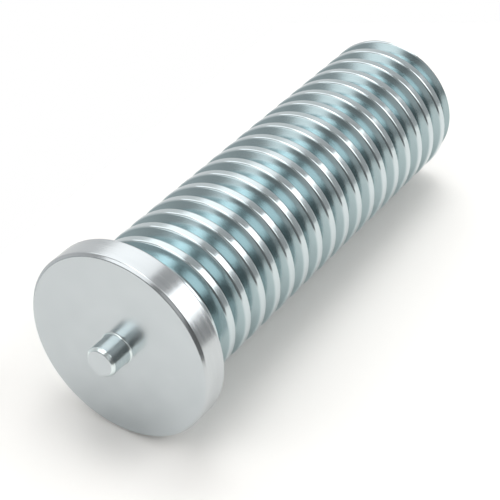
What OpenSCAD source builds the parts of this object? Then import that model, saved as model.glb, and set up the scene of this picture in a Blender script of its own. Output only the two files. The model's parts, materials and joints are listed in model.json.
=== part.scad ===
/* [Stud] */
// Length from the weld face to the free end of the thread
stud_len = 20; // [10:0.5:30]

/* [Thread] */
// Diameter over the flat crests of the thread
thread_d = 5.9; // [5:0.05:6.8]
// Advance of the thread in one turn
thread_pitch = 1; // [0.75:0.05:1.25]
// Width of the flat crest between two turns of the groove
crest_w = 0.34; // [0.2:0.02:0.36]
// Width of the flat at the bottom of the groove
root_w = 0.12; // [0.06:0.02:0.2]
// Angle between the two flanks of the groove
flank_angle = 60; // [50:1:70]
// Turns over which the groove rises out of the shank below the flange
runout_turns = 0.5; // [0.25:0.25:1.5]
// Angle round the shank at which the groove ends below the flange
runout_angle = 130; // [0:5:355]
// Chamfer at the free end of the thread, along the radius and the length
end_chamfer = 0.5; // [0.3:0.05:0.8]

/* [Flange] */
// Diameter of the flange
flange_d = 7.5; // [7:0.1:10]
// Thickness of the flange
flange_h = 1.1; // [0.7:0.05:2]
// Chamfer round the weld face
face_chamfer = 0.1; // [0.04:0.02:0.2]
// Chamfer round the shoulder behind the flange
shoulder_chamfer = 0.06; // [0.02:0.02:0.16]

/* [Ignition tip] */
// Diameter of the ignition tip
tip_d = 1.2; // [0.7:0.05:2]
// Height of the ignition tip above the weld face
tip_h = 1; // [0.6:0.05:1.5]
// Chamfer round the end of the tip
tip_chamfer = 0.1; // [0.04:0.02:0.2]
// Radius of the fillet where the tip grows out of the weld face
tip_fillet = 0.08; // [0.04:0.02:0.2]

/* [Hidden] */
$fn = 96;

// The stud stands on the free end of its thread, with the weld face and the tip on top.
thread_r = thread_d / 2;
flange_r = flange_d / 2;
tip_r = tip_d / 2;
shoulder_z = stud_len - flange_h;
tip_z = stud_len + tip_h;

// Section of the groove: a flat root between two flanks that open towards the crests.
flank_slope = tan(flank_angle / 2);
groove_mouth_w = thread_pitch - crest_w;
groove_depth = (groove_mouth_w - root_w) / 2 / flank_slope;
root_r = thread_r - groove_depth;

// The groove's solid stands proud of the crests, by less than would make its turns meet.
proud = crest_w / 4;
mouth_r = thread_r + proud;
mouth_w = groove_mouth_w + 2 * proud * flank_slope;

// The groove starts a full turn below the free end and stops just short of the shoulder.
steps_per_turn = 36;
groove_top_z = shoulder_z - mouth_w / 2 - proud;
groove_steps = ceil((groove_top_z / thread_pitch + 1) * steps_per_turn);
runout_steps = runout_turns * steps_per_turn;

// A point at radius r, turned by angle a about the stud's axis, at height z
function polar(r, a, z) = [r * cos(a), r * sin(a), z];

// Height of the groove's middle after a number of steps, climbing as a right-hand thread does
function groove_z(step) = groove_top_z - (groove_steps - step) * thread_pitch / steps_per_turn;

// How far the groove has risen out of the shank in its run-out
function runout_lift(step) = (groove_depth + proud) * max(0, 1 - (groove_steps - step) / runout_steps);

// Angle round the shank after a number of steps
function groove_angle(step) = runout_angle - (groove_steps - step) * 360 / steps_per_turn;

// The four corners of the groove's section after a number of steps
function groove_section(step) =
    let (a = groove_angle(step), z = groove_z(step), lift = runout_lift(step))
    [
        polar(root_r + lift, a, z - root_w / 2),
        polar(mouth_r + lift, a, z - mouth_w / 2),
        polar(mouth_r + lift, a, z + mouth_w / 2),
        polar(root_r + lift, a, z + root_w / 2)
    ];

// Points on a quarter round of radius r about [x, y], from angle a on
function quarter_round(x, y, r, a, steps = 6) =
    [for (i = [0 : steps]) [x + r * cos(a - 90 * i / steps), y + r * sin(a - 90 * i / steps)]];

// The helical groove, as one solid swept along the thread
module thread_groove() {
    corners = len(groove_section(0));
    points = [for (step = [0 : groove_steps]) each groove_section(step)];
    sides = [
        for (step = [0 : groove_steps - 1], corner = [0 : corners - 1])
            let (here = step * corners, above = here + corners, beside = (corner + 1) % corners)
            each [
                [here + corner, above + beside, above + corner],
                [here + corner, here + beside, above + beside]
            ]
    ];
    end_faces = [
        [for (corner = [0 : corners - 1]) corners - 1 - corner],
        [for (corner = [0 : corners - 1]) groove_steps * corners + corner]
    ];
    polyhedron(points, concat(sides, end_faces));
}

// The turned outline before the thread is rolled: shank, flange and ignition tip
module blank() {
    outline = concat(
        [
            [0, 0],
            [thread_r - end_chamfer, 0],
            [thread_r, end_chamfer],
            [thread_r, shoulder_z],
            [flange_r - shoulder_chamfer, shoulder_z],
            [flange_r, shoulder_z + shoulder_chamfer],
            [flange_r, stud_len - face_chamfer],
            [flange_r - face_chamfer, stud_len]
        ],
        quarter_round(tip_r + tip_fillet, stud_len + tip_fillet, tip_fillet, 270),
        [
            [tip_r, tip_z - tip_chamfer],
            [tip_r - tip_chamfer, tip_z],
            [0, tip_z]
        ]
    );
    rotate_extrude() polygon(outline);
}

// The whole stud, in one piece
module weld_stud() {
    color("lightsteelblue")
        difference() {
            blank();
            thread_groove();
        }
}

weld_stud();
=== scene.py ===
"""Looks of a zinc-plated weld stud: its rolled thread, turned rim, satin weld face and ignition tip."""

import json
import math

import bmesh
import bpy
from mathutils import Matrix, Vector


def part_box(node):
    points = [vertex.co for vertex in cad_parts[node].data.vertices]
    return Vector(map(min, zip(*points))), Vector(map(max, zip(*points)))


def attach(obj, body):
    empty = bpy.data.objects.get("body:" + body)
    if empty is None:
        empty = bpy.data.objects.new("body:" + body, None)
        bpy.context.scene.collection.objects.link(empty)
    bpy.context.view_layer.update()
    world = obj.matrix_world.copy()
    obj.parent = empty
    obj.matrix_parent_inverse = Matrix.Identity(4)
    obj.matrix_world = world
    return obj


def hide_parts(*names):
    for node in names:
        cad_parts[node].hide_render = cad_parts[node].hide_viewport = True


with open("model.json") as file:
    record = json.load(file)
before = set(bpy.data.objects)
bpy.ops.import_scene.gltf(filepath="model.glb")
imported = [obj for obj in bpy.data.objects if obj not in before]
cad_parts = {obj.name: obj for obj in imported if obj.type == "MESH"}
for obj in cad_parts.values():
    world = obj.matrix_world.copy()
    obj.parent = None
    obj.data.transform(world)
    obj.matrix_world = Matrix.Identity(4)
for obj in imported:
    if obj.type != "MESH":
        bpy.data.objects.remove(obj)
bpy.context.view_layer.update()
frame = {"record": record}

MM = 0.001
MOUNTS = {mount["name"]: mount for mount in frame["record"]["mounts"]}

# Sizes of the stud that the frame gives
STUD_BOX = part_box("weld_stud")
FLANGE_R = min(abs(side) for corner in STUD_BOX for side in corner.xy)
TIP_TOP = STUD_BOX[1].z
FACE_Z = MOUNTS["weld_face"]["pos_m"][2]
SHOULDER_Z = MOUNTS["shoulder"]["pos_m"][2]
THREAD_R = MOUNTS["thread"]["dims"]["r_mm"] * MM

# Sizes of the thread
PITCH = 1.0 * MM
CREST_W = 0.34 * MM
ROOT_W = 0.12 * MM
FLANK_ANGLE = math.radians(60)
FLANK_SLOPE = math.tan(FLANK_ANGLE / 2)
GROOVE_DEPTH = (PITCH - CREST_W - ROOT_W) / 2 / FLANK_SLOPE
CREST_ROUND = 0.06 * MM
ROOT_ROUND = 0.06 * MM
END_CHAMFER = 0.5 * MM
END_ROUND = 0.05 * MM
RUNOUT_TURNS = 0.5
RUNOUT_ANGLE = math.radians(130)
# The groove's solid in the part's source stands this far proud of the crests,
# and its last turn ends that far below the shoulder
GROOVE_PROUD = CREST_W / 4
GROOVE_TOP_Z = SHOULDER_Z - (PITCH - CREST_W) / 2 - GROOVE_PROUD * (1 + FLANK_SLOPE)

# Sizes of the flange and the tip
FACE_CHAMFER = 0.1 * MM
SHOULDER_CHAMFER = 0.06 * MM
TIP_R = 0.6 * MM
TIP_CHAMFER = 0.1 * MM
TIP_FILLET = 0.08 * MM
CHAMFER_ROUND = 0.03 * MM

# Fineness of the meshes
STEPS_ROUND = 120
ARC_STEPS = 4
WELD_DIST = 0.002 * MM
# Faces are weighed by area on an enlarged mesh, since their areas in square metres are too small.
# A power of two is exact there and back.
ENLARGE = 1024
SHARP_ANGLE = math.radians(32)

# The shot: the stud lies on its rim and on the end of its thread, and the camera looks down past the flange
LENS = 117.7
CAMERA_PITCH = math.radians(38.6)
HEADING = math.radians(32.53)
DROP = math.atan((FLANGE_R - THREAD_R) / (SHOULDER_Z + SHOULDER_CHAMFER - END_CHAMFER))
RIM_FRONT_Z = FACE_Z - FACE_CHAMFER
# Where the middle of the rim's front edge is, to the right of, above and ahead of the camera
RIM_IN_VIEW = Vector((-4.531, -3.333, 56.37)) * MM
# Reach of the ground from the rim's middle, to the left and right and to the front and back
GROUND_X = (-8.5 * MM, 42 * MM)
GROUND_Y = (-17.6 * MM, 28 * MM)
# The ground's sides lean along the stud
GROUND_LEAN = math.tan(HEADING)

# The lights: each soft box has its azimuth and elevation, its width and height and its roll,
# all in degrees, and its brightness
SOFT_BOXES = {
    "back_box": ((-13, 52), (59, 45), -40, 0.99),
    "top_box": ((6, 81), (20, 39), 23, 2.9),
    "right_box": ((90, 39), (34, 45), 40, 2.47),
    "left_box": ((-127, 49), (36, 52), -22, 1.39),
    "front_fill": ((184, 26), (24, 61), -22, 0.46),
}
BOX_DISTANCE = 400 * MM
TENT_R = 600 * MM
# Azimuth and elevation of the tent's brightest point, and its glow opposite to it and there
TENT_BRIGHT_SIDE = (-20, -20)
TENT_GLOW = (0.16, 0.81)
# Sines of the elevations between which the room's walls turn into its ceiling, and the glow of both
CEILING_START = (-0.1, 0.4)
ROOM_GLOW = (1, 0.62)

# Where one finish gives way to another on the stud
THREAD_SLOT, RIM_SLOT, FACE_SLOT, TIP_SLOT = range(4)
HEAD_FROM_Z = SHOULDER_Z + 0.2 * SHOULDER_CHAMFER
RIM_FROM_R = FLANGE_R - 0.6 * FACE_CHAMFER
TIP_FROM_Z = FACE_Z + 0.1 * TIP_FILLET
TIP_END_SLOPE = 0.9
FREE_END_SLOPE = -0.6
# How far below the crests their finish starts and is full, as shares of the groove's depth: the roughness
# changes there, and the groove's painted shade gives way to the crest's colour
CREST_FINISH_AND_SHADE_RAMP = (0.12, 0.02)

# Colours and roughness of the zinc, and of the paper
# The groove's colour is painted shade: darker and bluer than the crests, for the shade and the light
# bounced between the flanks
GROOVE_BLUE_AND_PAINTED_SHADE = (0.385, 0.48, 0.5)
CREST_BLUE = (0.565, 0.635, 0.655)
GROOVE_ROUGHNESS = 0.21
CREST_ROUGHNESS = 0.16
RIM_COLOURS = ((0.515, 0.545, 0.56), (0.575, 0.605, 0.62))
RIM_ROUGHNESS = (0.16, 0.24)
# The tip's zinc is painted lighter and bluer than the face's: a painted highlight for the light its side
# reflects by way of the weld face
TIP_COLOURS_PAINTED_LIGHTER = ((0.68, 0.765, 0.77), (0.78, 0.85, 0.855))
TIP_ROUGHNESS = (0.17, 0.27)
FACE_COLOURS = ((0.52, 0.56, 0.58), (0.56, 0.6, 0.62))
FACE_ROUGHNESS = (0.2, 0.26)
PAPER_WHITE = (0.985, 0.972, 0.945)

# Marks in the zinc: waves per millimetre round the stud and along it, with the noise's detail,
# and the marks' depth
THREAD_MARKS = (0.6, 9, 3)
THREAD_MARK_DEPTH = 0.0006 * MM
RIM_MARKS = (0.3, 24, 3)
RIM_MARK_DEPTH = 0.0012 * MM
TIP_MARKS = (0.6, 24, 3)
TIP_MARK_DEPTH = 0.0013 * MM
FACE_MOTTLE = (1.2, 1.2, 5)
FACE_MOTTLE_DEPTH = 0.0008 * MM
# The middle range of a noise, in which most of its values lie
NOISE_RANGE = (0.3, 0.7)


def wire(bm, points):
    """Edges through points of an outline, given as radius and height."""
    verts = [bm.verts.new((radius, 0, height)) for radius, height in points]
    for start, end in zip(verts, verts[1:]):
        bm.edges.new((start, end))
    return verts


def round_corners(bm, corners, size):
    """Rounds corners of a wire outline."""
    bmesh.ops.bevel(
        bm,
        geom=corners,
        offset=size,
        segments=ARC_STEPS,
        profile=0.5,
        affect="VERTICES",
        material=-1,
    )


def lathe(bm):
    """Turns the outline that a mesh holds once round the stud's axis, into a closed solid."""
    bmesh.ops.spin(
        bm,
        geom=bm.verts[:] + bm.edges[:],
        axis=(0, 0, 1),
        angle=math.tau,
        steps=STEPS_ROUND,
        use_merge=True,
    )
    close_solid(bm)


def close_solid(bm):
    """Joins what meets and turns the faces outwards."""
    bmesh.ops.remove_doubles(bm, verts=bm.verts[:], dist=WELD_DIST)
    bmesh.ops.dissolve_degenerate(bm, edges=bm.edges[:], dist=WELD_DIST)
    bmesh.ops.recalc_face_normals(bm, faces=bm.faces[:])


def as_object(bm, name):
    """A mesh as an object of the scene."""
    mesh = bpy.data.meshes.new(name)
    bm.to_mesh(mesh)
    bm.free()
    made = bpy.data.objects.new(name, mesh)
    bpy.context.scene.collection.objects.link(made)
    return made


def turned_head():
    """The flange and the ignition tip, turned as one."""
    bm = bmesh.new()
    corners = wire(
        bm,
        [
            (0, TIP_TOP),
            (TIP_R - TIP_CHAMFER, TIP_TOP),
            (TIP_R, TIP_TOP - TIP_CHAMFER),
            (TIP_R, FACE_Z),
            (FLANGE_R - FACE_CHAMFER, FACE_Z),
            (FLANGE_R, RIM_FRONT_Z),
            (FLANGE_R, SHOULDER_Z + SHOULDER_CHAMFER),
            (FLANGE_R - SHOULDER_CHAMFER, SHOULDER_Z),
            (0, SHOULDER_Z),
        ],
    )
    tip_base = corners[3]
    chamfers = [corner for corner in corners[1:-1] if corner is not tip_base]
    round_corners(bm, [tip_base], TIP_FILLET)
    round_corners(bm, chamfers, CHAMFER_ROUND)
    lathe(bm)
    return as_object(bm, "head")


def rolled_rod():
    """A rod with the thread's outline rolled into it, longer than the shank at both ends."""
    bm = bmesh.new()
    flank_w = GROOVE_DEPTH * FLANK_SLOPE
    first_groove_z = GROOVE_TOP_Z - math.ceil(GROOVE_TOP_Z / PITCH + 1) * PITCH
    start_z = first_groove_z - PITCH / 2 - PITCH * RUNOUT_ANGLE / math.tau
    root_r = THREAD_R - GROOVE_DEPTH
    corners = wire(
        bm,
        [
            (THREAD_R, start_z),
            (THREAD_R, start_z + CREST_W / 2),
            (root_r, start_z + CREST_W / 2 + flank_w),
            (root_r, start_z + PITCH - CREST_W / 2 - flank_w),
            (THREAD_R, start_z + PITCH - CREST_W / 2),
            (THREAD_R, start_z + PITCH),
        ],
    )
    crest_corners = [corners[1], corners[4]]
    root_corners = [corners[2], corners[3]]
    round_corners(bm, crest_corners, CREST_ROUND)
    round_corners(bm, root_corners, ROOT_ROUND)
    bmesh.ops.spin(
        bm,
        geom=bm.verts[:] + bm.edges[:],
        axis=(0, 0, 1),
        dvec=(0, 0, PITCH / STEPS_ROUND),
        angle=math.tau,
        steps=STEPS_ROUND,
    )
    one_turn = bm.verts[:] + bm.edges[:] + bm.faces[:]
    turns = math.ceil((SHOULDER_Z - start_z) / PITCH) + 1
    for turn in range(1, turns):
        copied = bmesh.ops.duplicate(bm, geom=one_turn)["geom"]
        moved = [part for part in copied if isinstance(part, bmesh.types.BMVert)]
        bmesh.ops.translate(bm, verts=moved, vec=(0, 0, turn * PITCH))
    bmesh.ops.remove_doubles(bm, verts=bm.verts[:], dist=WELD_DIST)
    fade_groove(bm)
    trim_rod(bm, -END_CHAMFER, -1)
    trim_rod(bm, SHOULDER_Z + SHOULDER_CHAMFER, 1)
    close_solid(bm)
    return as_object(bm, "rod")


def fade_groove(bm):
    """Lets the groove rise out of the rod just below the flange."""
    for vert in bm.verts:
        angle = math.atan2(vert.co.y, vert.co.x)
        before_end = ((RUNOUT_ANGLE - angle) / math.tau) % 1
        turns_up = round((vert.co.z - GROOVE_TOP_Z) / PITCH + before_end)
        turns_left = before_end - turns_up
        faded = max(0, min(1, 1 - turns_left / RUNOUT_TURNS))
        lift = (GROOVE_DEPTH + GROOVE_PROUD) * faded * faded * (3 - 2 * faded)
        radius = vert.co.xy.length
        risen = min(THREAD_R, radius + lift)
        vert.co.xy *= risen / radius


def trim_rod(bm, height, side):
    """Cuts the rod off square at a height, and closes the cut.
    Side is 1 to drop what is above, -1 to drop what is below."""
    cut = bmesh.ops.bisect_plane(
        bm,
        geom=bm.verts[:] + bm.edges[:] + bm.faces[:],
        plane_co=(0, 0, height),
        plane_no=(0, 0, side),
        clear_outer=True,
    )["geom_cut"]
    ring = [part for part in cut if isinstance(part, bmesh.types.BMEdge)]
    bmesh.ops.edgeloop_fill(bm, edges=ring)


def chamfered_sleeve():
    """The space that the shank keeps to: it cuts the free end square, with its chamfer."""
    bm = bmesh.new()
    clear = 2 * END_CHAMFER
    corners = wire(
        bm,
        [
            (0, SHOULDER_Z + clear),
            (THREAD_R + clear, SHOULDER_Z + clear),
            (THREAD_R + clear, END_CHAMFER + clear),
            (THREAD_R - END_CHAMFER, 0),
            (0, 0),
        ],
    )
    round_corners(bm, [corners[3]], END_ROUND)
    lathe(bm)
    return as_object(bm, "sleeve")


def combine(target, tool, operation):
    """Replaces the target's mesh by its boolean with the tool, which is then removed."""
    cut = target.modifiers.new(operation.lower(), "BOOLEAN")
    cut.operation = operation
    cut.object = tool
    cut.solver = "EXACT"
    evaluated = target.evaluated_get(bpy.context.evaluated_depsgraph_get())
    combined = bpy.data.meshes.new_from_object(evaluated)
    target.modifiers.clear()
    target.data = combined
    bpy.data.objects.remove(tool)


def weld_stud():
    """The whole stud, in one piece."""
    stud = rolled_rod()
    combine(stud, chamfered_sleeve(), "INTERSECT")
    combine(stud, turned_head(), "UNION")
    stud.name = "zinc_plated_stud"
    stud.data.name = stud.name
    bm = bmesh.new()
    bm.from_mesh(stud.data)
    close_solid(bm)
    bm.to_mesh(stud.data)
    bm.free()
    finish_faces(stud)
    flatten_shading(stud)
    return stud


def finish_faces(stud):
    """Gives each face of the stud its finish, with smooth shading up to the sharp edges."""
    finishes = [
        rolled_thread_zinc(),
        marked_zinc("turned_rim_zinc", RIM_MARKS, RIM_MARK_DEPTH, RIM_COLOURS, RIM_ROUGHNESS),
        marked_zinc("satin_face_zinc", FACE_MOTTLE, FACE_MOTTLE_DEPTH, FACE_COLOURS, FACE_ROUGHNESS),
        # The tip's colours are painted lighter than the face's zinc: painted highlight
        marked_zinc("turned_tip_zinc", TIP_MARKS, TIP_MARK_DEPTH, TIP_COLOURS_PAINTED_LIGHTER, TIP_ROUGHNESS),
    ]
    for finish in finishes:
        stud.data.materials.append(finish)
    for face in stud.data.polygons:
        face.material_index = finish_slot(face)
    stud.data.shade_smooth()
    stud.data.set_sharp_from_angle(angle=SHARP_ANGLE)


def finish_slot(face):
    """The slot of a face's finish, by where the face is on the stud."""
    on_head = face.center.z > HEAD_FROM_Z
    on_free_end = face.center.z < END_CHAMFER and face.normal.z < FREE_END_SLOPE
    if face.center.z > TIP_FROM_Z and abs(face.normal.z) < TIP_END_SLOPE:
        return TIP_SLOT
    if on_head and face.center.xy.length > RIM_FROM_R:
        return RIM_SLOT
    if on_head or on_free_end:
        return FACE_SLOT
    return THREAD_SLOT


def flatten_shading(stud):
    """Lets the flat faces look flat up to their rounded corners, by weighing the faces by area."""
    stud.data.transform(Matrix.Scale(ENLARGE, 4))
    by_area = stud.modifiers.new("by_area", "WEIGHTED_NORMAL")
    by_area.keep_sharp = True
    by_area.weight = 100
    evaluated = stud.evaluated_get(bpy.context.evaluated_depsgraph_get())
    shaded = bpy.data.meshes.new_from_object(evaluated)
    stud.modifiers.clear()
    shaded.transform(Matrix.Scale(1 / ENLARGE, 4))
    stud.data = shaded
    stud.data.name = stud.name


def new_finish(name):
    """An empty material, with its node tree and its metal shader."""
    made = bpy.data.materials.new(name)
    made.use_nodes = True
    tree = made.node_tree
    metal = tree.nodes["Principled BSDF"]
    metal.inputs["Metallic"].default_value = 1
    return made, tree, metal


def streaks(tree, around, along, detail):
    """Noise that runs in streaks round the stud's axis. Around and along are waves per millimetre."""
    place = tree.nodes.new("ShaderNodeTexCoord")
    stretch = tree.nodes.new("ShaderNodeMapping")
    stretch.inputs["Scale"].default_value = (around / MM, around / MM, along / MM)
    noise = tree.nodes.new("ShaderNodeTexNoise")
    noise.inputs["Scale"].default_value = 1
    noise.inputs["Detail"].default_value = detail
    tree.links.new(place.outputs["Object"], stretch.inputs["Vector"])
    tree.links.new(stretch.outputs["Vector"], noise.inputs["Vector"])
    return noise.outputs["Fac"]


def out_of_groove(tree):
    """Is 0 in the thread's groove and 1 on its crests, with a short ramp between. It lays the groove's
    painted shade and the groove's roughness.
    """
    place = tree.nodes.new("ShaderNodeTexCoord")
    flat = tree.nodes.new("ShaderNodeVectorMath")
    flat.operation = "MULTIPLY"
    flat.inputs[1].default_value = (1, 1, 0)
    radius = tree.nodes.new("ShaderNodeVectorMath")
    radius.operation = "LENGTH"
    ranged = tree.nodes.new("ShaderNodeMapRange")
    ranged.inputs["From Min"].default_value = THREAD_R - CREST_FINISH_AND_SHADE_RAMP[0] * GROOVE_DEPTH
    ranged.inputs["From Max"].default_value = THREAD_R - CREST_FINISH_AND_SHADE_RAMP[1] * GROOVE_DEPTH
    tree.links.new(place.outputs["Object"], flat.inputs[0])
    tree.links.new(flat.outputs["Vector"], radius.inputs[0])
    tree.links.new(radius.outputs["Value"], ranged.inputs["Value"])
    return ranged.outputs["Result"]


def spread(tree, value, low, high):
    """A noise's middle range, spread from low to high."""
    ranged = tree.nodes.new("ShaderNodeMapRange")
    ranged.inputs["From Min"].default_value, ranged.inputs["From Max"].default_value = NOISE_RANGE
    ranged.inputs["To Min"].default_value = low
    ranged.inputs["To Max"].default_value = high
    tree.links.new(value, ranged.inputs["Value"])
    return ranged.outputs["Result"]


def blend_colours(tree, share, first, second):
    """A colour between two, by a share from 0 to 1."""
    mixed = tree.nodes.new("ShaderNodeMix")
    mixed.data_type = "RGBA"
    mixed.inputs["A"].default_value = (*first, 1)
    mixed.inputs["B"].default_value = (*second, 1)
    tree.links.new(share, mixed.inputs["Factor"])
    return mixed.outputs["Result"]


def bump(tree, height, depth):
    """A bump from a height between 0 and 1, that many metres deep."""
    raised = tree.nodes.new("ShaderNodeBump")
    raised.inputs["Distance"].default_value = depth
    tree.links.new(height, raised.inputs["Height"])
    return raised.outputs["Normal"]


def rolled_thread_zinc():
    """Bright zinc with a pale blue passivation, on the rolled thread, with painted shade that makes the
    groove darker and bluer than the crests.
    """
    made, tree, metal = new_finish("rolled_thread_zinc")
    marks = streaks(tree, *THREAD_MARKS)
    height = out_of_groove(tree)
    # Painted shade: darker and bluer in the groove than on the crests
    colour = blend_colours(tree, height, GROOVE_BLUE_AND_PAINTED_SHADE, CREST_BLUE)
    tree.links.new(colour, metal.inputs["Base Color"])
    smoother = tree.nodes.new("ShaderNodeMapRange")
    smoother.inputs["To Min"].default_value = GROOVE_ROUGHNESS
    smoother.inputs["To Max"].default_value = CREST_ROUGHNESS
    tree.links.new(height, smoother.inputs["Value"])
    tree.links.new(smoother.outputs["Result"], metal.inputs["Roughness"])
    tree.links.new(bump(tree, marks, THREAD_MARK_DEPTH), metal.inputs["Normal"])
    return made


def marked_zinc(name, waves, depth, colours, roughness):
    """Zinc whose colour, roughness and height follow its marks: turning marks on the rim and on the
    tip's side, and a faint mottle on the weld face, the tip's end and the free end of the thread."""
    made, tree, metal = new_finish(name)
    marks = streaks(tree, *waves)
    colour = blend_colours(tree, spread(tree, marks, 0, 1), *colours)
    tree.links.new(colour, metal.inputs["Base Color"])
    tree.links.new(spread(tree, marks, *roughness), metal.inputs["Roughness"])
    tree.links.new(bump(tree, marks, depth), metal.inputs["Normal"])
    return made


def shot_frame():
    """Takes places in the shot to the part's frame. In the shot X is right, Y away from the camera
    and Z up, and the middle of the rim's front edge is the origin."""
    to_thread_end = Vector((math.sin(HEADING), math.cos(HEADING), -math.tan(DROP))).normalized()
    look = Vector((0, math.cos(CAMERA_PITCH), -math.sin(CAMERA_PITCH)))
    up_the_stud = -to_thread_end
    away = (look - up_the_stud * look.dot(up_the_stud)).normalized()
    side = away.cross(up_the_stud)
    turn = Matrix((side, away, up_the_stud))
    return Matrix.Translation((0, 0, RIM_FRONT_Z)) @ turn.to_4x4()


def photo_camera(shot):
    """The camera, where the photograph was taken from."""
    lens = bpy.data.cameras.new("camera")
    lens.lens = LENS
    lens.clip_start = 1 * MM
    lens.clip_end = 1
    camera = bpy.data.objects.new("camera", lens)
    bpy.context.scene.collection.objects.link(camera)
    turn = Matrix.Rotation(math.radians(90) - CAMERA_PITCH, 4, "X")
    seen = Vector((RIM_IN_VIEW.x, RIM_IN_VIEW.y, -RIM_IN_VIEW.z))
    camera.matrix_world = shot @ turn @ Matrix.Translation(-seen)
    bpy.context.scene.camera = camera


def soft_box(shot, name, direction, size, roll, brightness):
    """A soft box aimed at the middle of the stud from a direction, of a width and height that are seen
    from there, turned by roll about its aim. All but the brightness are in degrees."""
    width, height = size
    lamp = bpy.data.lights.new(name, "AREA")
    lamp.shape = "RECTANGLE"
    lamp.size = 2 * BOX_DISTANCE * math.tan(math.radians(width) / 2)
    lamp.size_y = 2 * BOX_DISTANCE * math.tan(math.radians(height) / 2)
    lamp.energy = brightness * math.pi * lamp.size * lamp.size_y
    box = bpy.data.objects.new(name, lamp)
    bpy.context.scene.collection.objects.link(box)
    towards = bearing(*direction)
    middle = shot.inverted() @ Vector((0, 0, FACE_Z / 2))
    place = Matrix.Translation(middle + towards * BOX_DISTANCE)
    aim = towards.to_track_quat("Z", "Y").to_matrix().to_4x4()
    box.matrix_world = shot @ place @ aim @ Matrix.Rotation(math.radians(roll), 4, "Z")
    box.visible_camera = False


def pale_ground(shot):
    """The pale ground that the stud lies on in the shot. Seen from its back it lets the camera through."""
    bm = bmesh.new()
    ground_z = -FLANGE_R * math.cos(DROP) - (RIM_FRONT_Z - SHOULDER_Z - SHOULDER_CHAMFER) * math.sin(DROP)
    middle = Vector((sum(GROUND_X) / 2, sum(GROUND_Y) / 2, ground_z))
    reach = Matrix.Diagonal((GROUND_X[1] - GROUND_X[0], GROUND_Y[1] - GROUND_Y[0], 1, 1))
    lean = Matrix(((1, GROUND_LEAN, 0, 0), (0, 1, 0, 0), (0, 0, 1, 0), (0, 0, 0, 1)))
    bmesh.ops.create_grid(
        bm,
        x_segments=1,
        y_segments=1,
        size=0.5,
        matrix=shot @ Matrix.Translation(middle) @ lean @ reach,
    )
    ground = as_object(bm, "ground")
    ground.data.materials.append(ground_paper())


def ground_paper():
    """Matt white paper, which the camera looks through from behind."""
    made = bpy.data.materials.new("ground_paper")
    made.use_nodes = True
    tree = made.node_tree
    paper = tree.nodes["Principled BSDF"]
    paper.inputs["Base Color"].default_value = (*PAPER_WHITE, 1)
    paper.inputs["Roughness"].default_value = 1
    paper.inputs["Specular IOR Level"].default_value = 0
    rays = tree.nodes.new("ShaderNodeLightPath")
    side = tree.nodes.new("ShaderNodeNewGeometry")
    from_behind = tree.nodes.new("ShaderNodeMath")
    from_behind.operation = "MULTIPLY"
    tree.links.new(side.outputs["Backfacing"], from_behind.inputs[0])
    tree.links.new(rays.outputs["Is Camera Ray"], from_behind.inputs[1])
    clear = tree.nodes.new("ShaderNodeBsdfTransparent")
    seen = tree.nodes.new("ShaderNodeMixShader")
    tree.links.new(from_behind.outputs[0], seen.inputs["Fac"])
    tree.links.new(paper.outputs["BSDF"], seen.inputs[1])
    tree.links.new(clear.outputs["BSDF"], seen.inputs[2])
    tree.links.new(seen.outputs["Shader"], tree.nodes["Material Output"].inputs["Surface"])
    return made


def bearing(azimuth, elevation):
    """The direction of an azimuth and an elevation in the shot.
    Azimuth 0 is away from the camera and 90 to the right."""
    turn = math.radians(azimuth)
    rise = math.radians(elevation)
    return Vector((math.sin(turn) * math.cos(rise), math.cos(turn) * math.cos(rise), math.sin(rise)))


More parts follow.
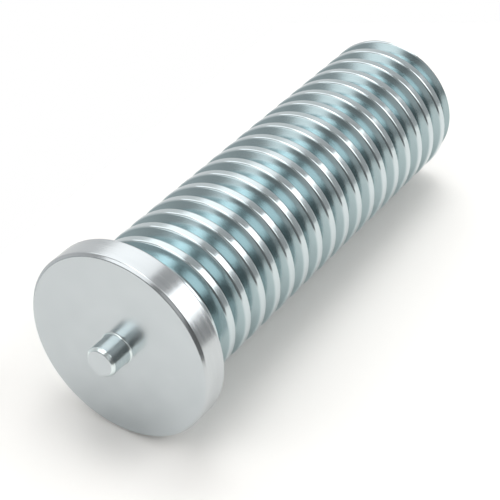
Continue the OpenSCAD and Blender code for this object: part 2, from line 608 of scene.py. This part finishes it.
def shade_towards(tree, direction, cosines, shades):
    """A brightness that goes from one shade to another while the cosine of the angle to a direction
    goes from one value to another."""
    place = tree.nodes.new("ShaderNodeTexCoord")
    outward = tree.nodes.new("ShaderNodeVectorMath")
    outward.operation = "NORMALIZE"
    tree.links.new(place.outputs["Object"], outward.inputs[0])
    facing = tree.nodes.new("ShaderNodeVectorMath")
    facing.operation = "DOT_PRODUCT"
    facing.inputs[1].default_value = direction
    tree.links.new(outward.outputs["Vector"], facing.inputs[0])
    shade = tree.nodes.new("ShaderNodeMapRange")
    shade.interpolation_type = "SMOOTHSTEP"
    shade.inputs["From Min"].default_value, shade.inputs["From Max"].default_value = cosines
    shade.inputs["To Min"].default_value, shade.inputs["To Max"].default_value = shades
    tree.links.new(facing.outputs["Value"], shade.inputs["Value"])
    return shade.outputs["Result"]


def light_tent(shot):
    """The tent round the stud, which lights it softly and which the camera looks through."""
    bm = bmesh.new()
    bmesh.ops.create_icosphere(bm, subdivisions=4, radius=TENT_R)
    bmesh.ops.reverse_faces(bm, faces=bm.faces[:])
    tent = as_object(bm, "light_tent")
    tent.data.materials.append(tent_cloth(shot))
    tent.visible_camera = False


def tent_cloth(shot):
    """Glowing cloth, bright at the back and dark at the front."""
    made = bpy.data.materials.new("tent_cloth")
    made.use_nodes = True
    tree = made.node_tree
    bright_side = shot.to_3x3() @ bearing(*TENT_BRIGHT_SIDE)
    glow = tree.nodes.new("ShaderNodeEmission")
    tree.links.new(shade_towards(tree, bright_side, (-1, 1), TENT_GLOW), glow.inputs["Strength"])
    tree.links.new(glow.outputs["Emission"], tree.nodes["Material Output"].inputs["Surface"])
    return made


def white_room(shot):
    """The white room outside the tent. Its ceiling is grey, so that bright edges show from below."""
    world = bpy.data.worlds.new("white_room")
    world.use_nodes = True
    tree = world.node_tree
    walls = tree.nodes["Background"]
    walls.inputs["Color"].default_value = (1, 1, 1, 1)
    up = shot.to_3x3() @ Vector((0, 0, 1))
    tree.links.new(shade_towards(tree, up, CEILING_START, ROOM_GLOW), walls.inputs["Strength"])
    bpy.context.scene.world = world


def main():
    """Builds the stud, the stage and the shot."""
    bpy.context.scene.view_settings.view_transform = "Standard"
    shot = shot_frame()
    photo_camera(shot)
    stud = weld_stud()
    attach(stud, "root")
    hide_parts("weld_stud")
    pale_ground(shot)
    light_tent(shot)
    white_room(shot)
    for name, (direction, size, roll, brightness) in SOFT_BOXES.items():
        soft_box(shot, name, direction, size, roll, brightness)


main()
